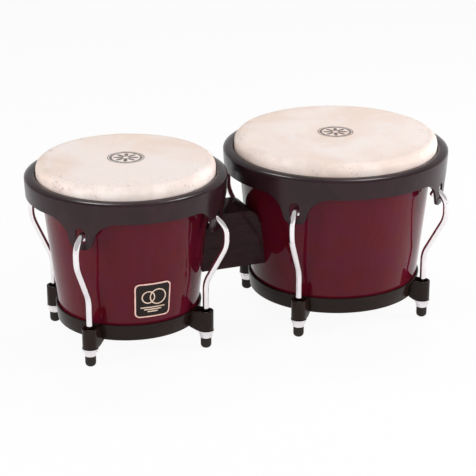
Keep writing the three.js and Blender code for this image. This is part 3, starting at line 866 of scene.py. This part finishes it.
def rawhide_finish(name, drum, seed):
    material, tree, shader = new_finish(
        name, Specular_IOR_Level=0.35, Subsurface_Weight=0.12, Subsurface_Scale=0.004
    )
    shader.inputs["Subsurface Radius"].default_value = (1.0, 0.6, 0.45)
    at = about_axis(tree, drum)
    place = node(tree, "SeparateXYZ", {0: at}).outputs
    radius = from_middle(tree, place)
    away = node(tree, "Mapping", {"Vector": at, "Location": (seed, seed / 2, 0)}).outputs[0]
    edge = drum["skin"] / 1000
    broad = between(tree, noise(tree, away, 11, 3, 0.5, 0.6), 0.38, 0.66)
    cream = blended(tree, broad, colour(247, 232, 225), colour(240, 218, 206))
    clouds = between(tree, noise(tree, away, 26, 4, 0.6, 1.2), 0.5, 0.78, 0.0, 0.6)
    cream = blended(tree, clouds, cream, colour(248, 238, 238))
    peach = between(tree, noise(tree, away, 8, 2, 0.5, 0.5), 0.5, 0.72)
    leftwards = between(tree, maths(tree, "SUBTRACT", place[1], place[0]), -0.02, 0.1)
    cream = blended(tree, maths(tree, "MULTIPLY", peach, leftwards), cream, colour(238, 208, 180))
    # painted shade: a patchy darker ring just inside the shell's edge, where the skin bends down over
    # it
    near_edge = between(tree, radius, edge * 0.86, edge * 0.985)
    edge_shade = maths(tree, "MULTIPLY", near_edge, between(tree, noise(tree, away, 38, 3, 0.6), 0.35, 0.65))
    cream = blended(tree, maths(tree, "MULTIPLY", edge_shade, 0.55), cream, colour(216, 197, 188))
    fibre = stretched(tree, away, 1, 0.35, 1)
    flecks = between(tree, noise(tree, fibre, 420, 3, 0.7, 0.4), 0.58, 0.72)
    patchy = between(tree, noise(tree, away, 30, 2, 0.5), 0.42, 0.62)
    at_edge = between(tree, radius, edge * 0.72, edge * 0.96, 0.2, 0.75)
    flecked = maths(tree, "MULTIPLY", maths(tree, "MULTIPLY", flecks, patchy), at_edge)
    cream = blended(tree, flecked, cream, colour(150, 130, 124))
    # a small plain rosette is printed in the middle: a ring round eight petals
    stamp_turn = node(
        tree,
        "Mapping",
        {"Vector": at, "Location": (0.0, -0.004, 0), "Rotation": (0, 0, math.radians(21.85))},
    )
    stamp = node(tree, "SeparateXYZ", {0: stamp_turn.outputs[0]}).outputs
    stamp_r = from_middle(tree, stamp)
    stamp_angle = maths(tree, "ARCTAN2", stamp[1], stamp[0])
    petal = maths(tree, "ABSOLUTE", maths(tree, "COSINE", maths(tree, "MULTIPLY", stamp_angle, 4.0)))
    petal_reach = maths(tree, "MULTIPLY_ADD", petal, 0.0105, 0.0020)
    within = maths(tree, "LESS_THAN", stamp_r, petal_reach)
    without = maths(tree, "GREATER_THAN", stamp_r, 0.0028)
    petals = maths(tree, "MULTIPLY", within, without)
    band = maths(tree, "COMPARE", stamp_r, 0.0148, 0.0013)
    thin_band = maths(tree, "COMPARE", stamp_r, 0.0174, 0.0005)
    ink = maths(tree, "MAXIMUM", petals, maths(tree, "MAXIMUM", band, thin_band))
    on_top = maths(tree, "GREATER_THAN", place[2], 0.1812)
    rubbed = between(tree, noise(tree, away, 260, 3, 0.6), 0.3, 0.62, 0.95, 0.7)
    inked = maths(tree, "MULTIPLY", maths(tree, "MULTIPLY", ink, on_top), rubbed)
    feed(tree, shader, Base_Color=blended(tree, inked, cream, colour(52, 36, 33)))
    feed(tree, shader, Roughness=between(tree, clouds, 0.0, 0.6, 0.58, 0.7))
    wrinkles = noise(tree, stretched(tree, away, 1.0, 0.5, 1.0), 120, 5, 0.65, 0.8)
    pores = noise(tree, away, 900, 2, 0.5)
    rough = maths(tree, "ADD", wrinkles, maths(tree, "MULTIPLY", pores, 0.25))
    feed(tree, shader, Normal=relief(tree, rough, 0.38, 0.0006))
    return material


for seed, (name, drum) in enumerate(drums.items()):
    drum["skin"] = drum["top"] + fit + skin_thick
    outer, inner = drum["skin"], drum["skin"] - skin_thick
    hoop = outer + fold
    low_in, low_out = hoop_z - fold, hoop_z - fold - skin_thick
    high_in, high_out = hoop_z + fold, hoop_z + fold + skin_thick
    head = turned(
        [
            (0, skin_top),
            (outer * 0.3, skin_top),
            (outer * 0.6, skin_top),
            (outer * 0.8, skin_top),
            (outer, skin_top, skin_round_outside, 10),
            (outer, 172),
            (outer, 168),
            (outer, 164),
            (outer, low_in, fold_round_inside, 5),
            (hoop + fold, low_in, fold_round_inside, 5),
            (hoop + fold, high_in, fold_round_inside, 5),
            (hoop - 0.8, high_in),
            (hoop - 0.8, high_out),
            (hoop + fold + skin_thick, high_out, fold_round_outside, 6),
            (hoop + fold + skin_thick, low_out, fold_round_outside, 6),
            (inner, low_out, fold_round_outside, 6),
            (inner, skin_top - skin_thick, skin_round_inside, 8),
            (0, skin_top - skin_thick),
        ],
        closed=False,
        steps=drum_steps,
    )
    for vert in head.verts:
        radius = math.hypot(vert.co.x, vert.co.y)
        if 160 < vert.co.z < pleats_high and inner - 0.5 < radius < outer + 0.5:
            turn = math.atan2(vert.co.y, vert.co.x)
            pleat = math.sin(turn * 37 + seed) + 0.6 * math.sin(turn * 61 + 2 * seed)
            pleat += 0.5 * math.sin(turn * 23)
            fade = min(1.0, (pleats_high - vert.co.z) / 14) * pleat_depth
            vert.co.x *= 1 - fade * (1.6 - pleat) / (2 * radius)
            vert.co.y *= 1 - fade * (1.6 - pleat) / (2 * radius)
    moved(head, x=drum["x"])
    body = f"{name}_head_assembly"
    finished(
        f"{name}_drum_skin",
        head,
        body,
        [f"{name}_head"],
        [rawhide_finish(f"{name}_rawhide", drum, 0.4 + 0.7 * seed)],
    )
    wire = bmesh.new()
    square = ((-1, -1), (1, -1), (1, 1), (-1, 1))
    section(wire, [(hoop + across * hoop_wire, hoop_z + up * hoop_wire) for across, up in square])
    bmesh.ops.bevel(
        wire,
        geom=wire.verts[:],
        offset=hoop_wire - weld,
        segments=5,
        profile=0.5,
        affect="VERTICES",
        material=-1,
    )
    bmesh.ops.remove_doubles(wire, verts=wire.verts, dist=0.01)
    spun_round(wire, 128)
    moved(wire, x=drum["x"])
    finished(f"{name}_wire_hoop", wire, body, [f"{name}_flesh_hoop"], [zinc])


# ---- Rims --------------------------------------------------------------------------------
# Sheet steel rolled over into a deep rounded channel that presses on the folded skin, with
# four slotted ears cut from its lower band. Painted satin black like the rings.

rim_width, rim_sheet, rim_gap = 11.2, 2.2, 0.7
lip_z, leg_z, shoulder_z, band_z, ear_tip_z = 169.8, 162.3, 161.6, 149.5, 122.3
band_taper, ear_taper = 0.9, 1.8  # how much nearer the drum than the rim's outside
ear_top, ear_waist, ear_tip = 37, 17.5, 9.8  # half widths
waist_round, tip_round = 17, 6.0
slot_low, slot_high, slot_half_width = 128.1, 143.8, 5
slot_round_low, slot_round_high = 1.5, 4.95


def slot_shape():
    return face_from(
        [
            (-slot_half_width, slot_low, slot_round_low, 4),
            (slot_half_width, slot_low, slot_round_low, 4),
            (slot_half_width, slot_high, slot_round_high, 8),
            (-slot_half_width, slot_high, slot_round_high, 8),
        ]
    )


def pushed_out(bm, near, far):
    """Extrudes an upright flat shape from near to far along X."""
    extruded(bm, bm.faces[:], (0, far - near, 0))
    bmesh.ops.recalc_face_normals(bm, faces=bm.faces)
    return moved(bm, x=near, angle=-90)


def ear_shape():
    """An ear's outline: wide where it leaves the band, narrow and round at its tip."""
    return face_from(
        [
            (-ear_top, band_z + 4),
            (-ear_top, band_z),
            (-ear_waist, band_z, waist_round, 14),
            (-ear_tip, ear_tip_z, tip_round, 8),
            (ear_tip, ear_tip_z, tip_round, 8),
            (ear_waist, band_z, waist_round, 14),
            (ear_top, band_z),
            (ear_top, band_z + 4),
        ]
    )


for name, drum in drums.items():
    inside = drum["skin"] + rim_gap
    outside = drum["skin"] + rim_width
    drum["rim"] = outside
    rim = turned(
        [
            (outside - ear_taper - rim_sheet, ear_tip_z - 2),
            (outside - ear_taper, ear_tip_z - 2),
            (outside - band_taper, band_z, 6, 3),
            (outside, shoulder_z, 5, 3),
            (outside, lip_z, 7.9, 12),
            (inside, lip_z, 2.5, 6),
            (inside, leg_z, 0.3, 2),
            (inside + rim_sheet, leg_z, 0.3, 2),
            (inside + rim_sheet, lip_z - rim_sheet, 0.4, 2),
            (outside - rim_sheet, lip_z - rim_sheet, 5.7, 8),
            (outside - rim_sheet, shoulder_z),
            (outside - band_taper - rim_sheet, band_z),
        ],
        steps=drum_steps,
    )
    kept = moved(upright_bar(outside + 20, 30, 96), z=band_z + 15)
    kept = joined(kept, pushed_out(ear_shape(), outside - 20, outside + 10), copies=lug_angles)
    rim = carved(rim, kept, "INTERSECT", overlapping=True)
    slots = joined(bmesh.new(), pushed_out(slot_shape(), outside - 15, outside + 10), copies=lug_angles)
    rim = carved(rim, slots)
    moved(rim, x=drum["x"])
    finished(
        f"{name}_tension_rim",
        rim,
        f"{name}_head_assembly",
        [f"{name}_rim"],
        [black_paint_finish(f"{name}_rim_paint", drum, (37, 21, 25), 0.28)],
        sharp=42,
    )


# ---- Tuning rods -------------------------------------------------------------------------
# Chromed steel rod: a hook at the top goes through the ear's slot, two bends bring it in
# beside the shell, and its lower end is threaded for the nut.

rod_radius, thread_radius, thread_top, rod_end = 3.0, 2.9, 33.0, 4.6
hook_end_in, hook_end_z, hook_peak_in, hook_peak_z = 7.2, 129.7, 3, 137
hook_foot_z, bend_out_z, bend_in_z = 126.5, 108, 68
hook_bend, rod_bend, rod_end_round = 4.5, 7, 0.9
drums["small"]["stand_off"] = 7.6
drums["large"]["stand_off"] = 4.8
chrome = plated_finish("chrome_plate", colour(252, 247, 249), colour(243, 236, 239), 0.08, 60.0)


def bent_rod(corners, bends, radius):
    """Draws a bar out along straight runs in the XZ plane and bends it at each corner."""
    points = [Vector((x, 0, z)) for x, z in corners]
    bm = bmesh.new()
    bmesh.ops.create_circle(bm, cap_ends=True, radius=radius, segments=24)
    along = (points[1] - points[0]).normalized()
    facing = Vector((0, 0, 1)).rotation_difference(along).to_matrix()
    bmesh.ops.rotate(bm, verts=bm.verts, cent=(0, 0, 0), matrix=facing)
    bmesh.ops.translate(bm, verts=bm.verts, vec=points[0])
    end = bm.edges[:]
    place = points[0]

    def drawn(end, vector):
        grown = bmesh.ops.extrude_edge_only(bm, edges=end)["geom"]
        bmesh.ops.translate(bm, verts=only(bmesh.types.BMVert, grown), vec=vector)
        return only(bmesh.types.BMEdge, grown)

    for i in range(1, len(points) - 1):
        incoming = (points[i] - points[i - 1]).normalized()
        outgoing = (points[i + 1] - points[i]).normalized()
        before = points[i] - incoming * bends[i]
        end = drawn(end, before - place)
        turn = incoming.angle(outgoing)
        axis = incoming.cross(outgoing).normalized()
        pivot = before + axis.cross(incoming) * bends[i] / math.tan(turn / 2)
        spun = bmesh.ops.spin(
            bm,
            geom=end + list({v for e in end for v in e.verts}),
            cent=pivot,
            axis=axis,
            angle=turn,
            steps=10,
        )["geom_last"]
        end = only(bmesh.types.BMEdge, spun)
        place = points[i] + outgoing * bends[i]
    end = drawn(end, points[-1] - place)
    bmesh.ops.contextual_create(bm, geom=end)
    bmesh.ops.remove_doubles(bm, verts=bm.verts, dist=weld)
    bmesh.ops.recalc_face_normals(bm, faces=bm.faces)
    rims = [e for e in bm.edges if e.is_manifold and e.calc_face_angle() > 1.2]
    edges_rounded(bm, rims, rod_end_round, 4)
    return bm


def threaded_end(radius, low, high, pitch=1.0):
    """The rolled thread, cut as close ridges, with a chamfered point."""
    corners = [(0, low), (radius - 1.0, low), (radius - 0.4, low + 0.7)]
    z = low + 1.0
    while z < high - pitch:
        corners += [(radius - 0.45, z), (radius, z + pitch / 2)]
        z += pitch
    corners += [(radius - 0.45, z), (radius - 0.45, high + 0.4), (0, high + 0.4)]
    return turned(corners, closed=False, steps=24)


for name, drum in drums.items():
    shoulder = drum["rim"] + drum["stand_off"]
    ear = drum["rim"] - ear_taper - rim_sheet / 2
    lug = drum["lug"]
    for number, angle in enumerate(lug_angles, 1):
        rod = bent_rod(
            [
                (ear - hook_end_in, hook_end_z),
                (ear - hook_peak_in, hook_peak_z),
                (shoulder, hook_foot_z),
                (shoulder, bend_out_z),
                (lug, bend_in_z),
                (lug, thread_top),
            ],
            [0, hook_bend, rod_bend, rod_bend, rod_bend, 0],
            rod_radius,
        )
        thread = threaded_end(thread_radius, rod_end, thread_top)
        joined(rod, moved(thread, x=lug))
        moved(rod, angle=angle)
        moved(rod, x=drum["x"])
        finished(
            f"{name}_lug_{number}_tuning_rod",
            rod,
            f"{name}_head_assembly",
            [f"{name}_lug_{number}_rod"],
            [chrome],
        )


# ---- Washers and tuning nuts -------------------------------------------------------------
# Under each loop lie a chromed washer and a nut with a round shoulder, a hexagon for the
# spanner and a plain barrel that carries the rubber tip.

washer_top, washer_low, nut_top = 18.7, 17.2, 16.9
nut_hex_top, nut_hex_low, barrel_low = 15.5, 10.9, 6.7
across_flats, barrel_radius = 10.6, 4.05
washer_radius, nut_radius = 7.9, 7.1


def tuning_nut():
    bore = thread_radius + 0.3
    nut = turned(
        [
            (bore, barrel_low, 0.3, 2),
            (barrel_radius, barrel_low, 0.3, 2),
            (barrel_radius, nut_hex_low + 0.4),
            (across_flats / 2 - 0.4, nut_hex_low + 0.4),
            (across_flats / 2 - 0.4, nut_hex_top - 1.2),
            (nut_radius, nut_hex_top, 0.3, 3),
            (nut_radius, nut_top, 0.35, 3),
            (bore, nut_top, 0.3, 2),
        ]
    )
    across_corners = across_flats / math.sqrt(3)
    hexagon = upright_bar(across_corners, nut_hex_top - nut_hex_low, 6)
    moved(hexagon, z=(nut_hex_top + nut_hex_low) / 2)
    crown = turned(
        [
            (0, nut_hex_low),
            (across_flats / 2 - 0.1, nut_hex_low),
            (across_corners + 0.3, nut_hex_low + 0.75),
            (across_corners + 0.3, nut_hex_top),
            (0, nut_hex_top),
        ],
        closed=False,
    )
    hexagon = carved(hexagon, crown, "INTERSECT")
    nut = carved(nut, hexagon, "UNION")
    return carved(nut, upright_bar(bore, 40, 48))


def at_lug(bm, drum, angle):
    """Carries a shape from the origin to one of a drum's lugs."""
    moved(bm, x=drum["lug"])
    moved(bm, angle=angle)
    return moved(bm, x=drum["x"])


for name, drum in drums.items():
    for number, angle in enumerate(lug_angles, 1):
        bore = thread_radius + 0.45
        washer = turned(
            [
                (bore, washer_low, 0.2, 2),
                (washer_radius, washer_low, 0.45, 3),
                (washer_radius, washer_top, 0.25, 3),
                (bore, washer_top, 0.2, 2),
            ]
        )
        label = f"{name}_lug_{number}"
        for part, bm, body in (
            ("washer", washer, "frame"),
            ("nut", tuning_nut(), f"{name}_tuning_nut_{number}"),
        ):
            finished(
                f"{label}_chrome_{part}",
                at_lug(bm, drum, angle),
                body,
                [f"{label}_{part}"],
                [chrome],
            )


# ---- Rubber tips -------------------------------------------------------------------------
# Soft black rubber caps pushed on the nuts' barrels, with a domed end. The drums stand on
# them, and they turn with the nuts.

rubber, rubber_tree, rubber_shader = new_finish("tip_rubber", Specular_IOR_Level=0.4)
rubber_at = node(rubber_tree, "TexCoord").outputs["Object"]
rubber_marks = use(rubber_tree, marks_tree, {"Vector": rubber_at, "Size": 150.0})
rubber_tone = blended(rubber_tree, rubber_marks["Smears"], colour(28, 22, 19), colour(38, 31, 27))
rubber_dust = maths(rubber_tree, "MULTIPLY", rubber_marks["Dust"], 0.25)
rubber_tone = blended(rubber_tree, rubber_dust, rubber_tone, colour(110, 104, 102))
feed(
    rubber_tree,
    rubber_shader,
    Base_Color=rubber_tone,
    Roughness=between(rubber_tree, rubber_marks["Smears"], 0.0, 1.0, 0.6, 0.75),
    Normal=relief(rubber_tree, noise(rubber_tree, rubber_at, 1600, 3), 0.2, 0.0002),
)
tip_radius, tip_top, tip_floor, tip_pocket = 5.2, 10.6, 2.6, 4.35
for name, drum in drums.items():
    for number, angle in enumerate(lug_angles, 1):
        tip = turned(
            [
                (0, 0),
                (tip_radius, 0, 4.0, 10),
                (tip_radius, tip_top, 0.4, 3),
                (tip_pocket, tip_top, 0.2, 2),
                (tip_pocket, tip_floor),
                (0, tip_floor),
            ],
            closed=False,
        )
        finished(
            f"{name}_lug_{number}_foot",
            at_lug(tip, drum, angle),
            f"{name}_tuning_nut_{number}",
            [f"{name}_lug_{number}_rubber_tip"],
            [rubber],
        )
